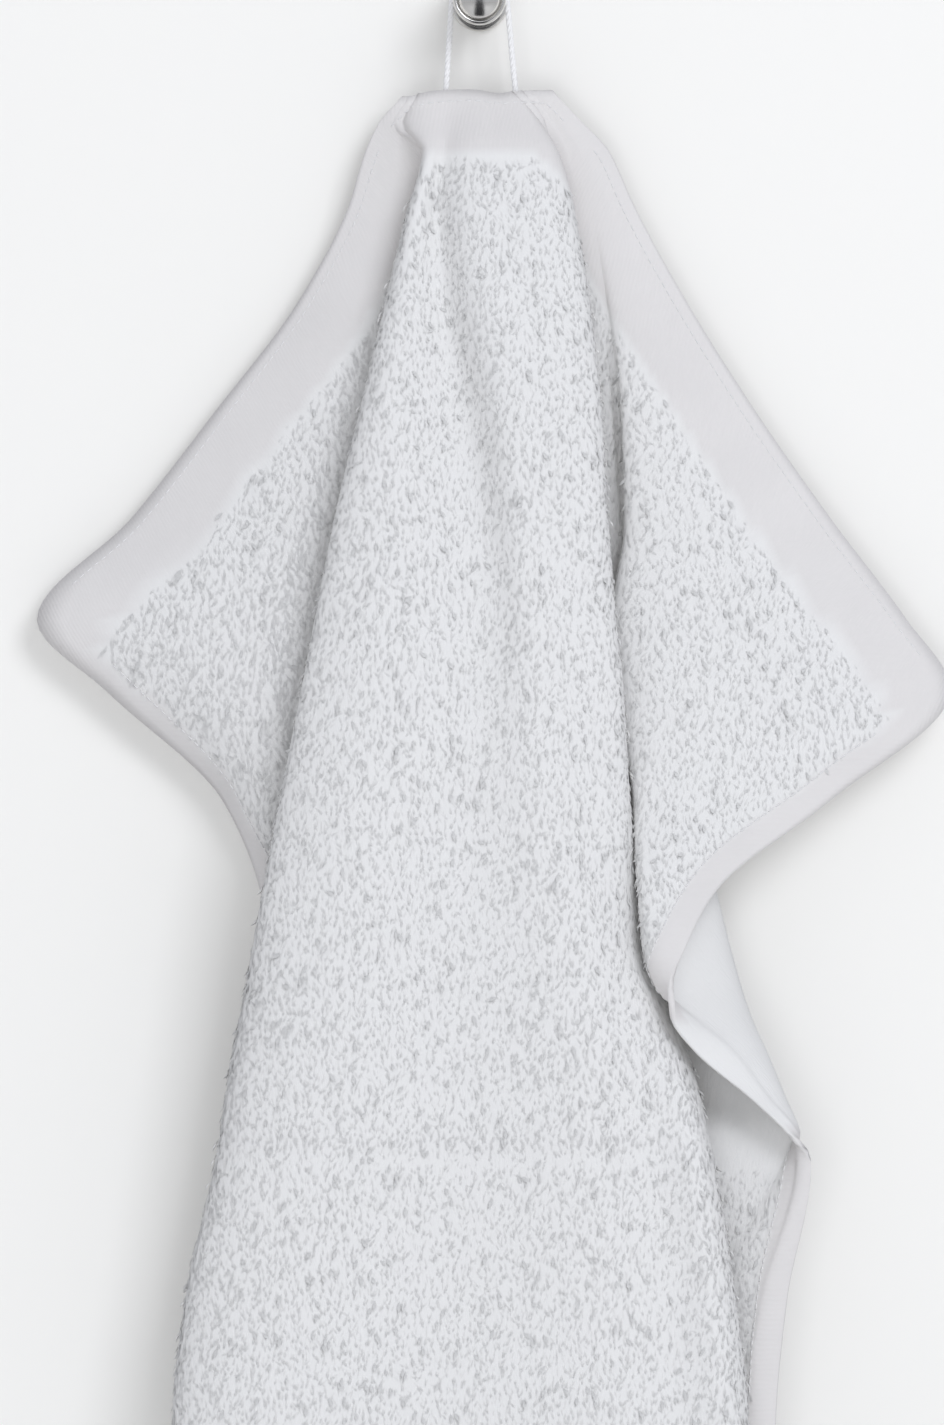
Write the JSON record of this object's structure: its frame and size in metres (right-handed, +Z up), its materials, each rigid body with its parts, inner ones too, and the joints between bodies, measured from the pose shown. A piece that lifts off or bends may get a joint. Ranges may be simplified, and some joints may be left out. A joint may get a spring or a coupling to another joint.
{
  "type": "hand towel on a hook",
  "caption": "Terry hand towel draped from the middle of its top hem by a cord loop over a round wall peg, with folded wings and a bulging front panel.",
  "frame": {"origin": "centre of the wall plate's back face, on the wall", "axes": "+Z up, +Y into the wall, +X to the right seen from the front"},
  "size_m": [0.2935, 0.059, 1.1749],
  "materials": {
    "terry_cloth": "white cotton terry with a flat woven band and plain hems",
    "loop_cord": "white braided cotton cord",
    "polished_steel": "polished stainless steel"
  },
  "bodies": {
    "root": {"towel": "terry_cloth", "hanging_loop": "loop_cord", "wall_plate": "polished_steel", "stem": "polished_steel", "knob": "polished_steel"}
  },
  "joints": []
}
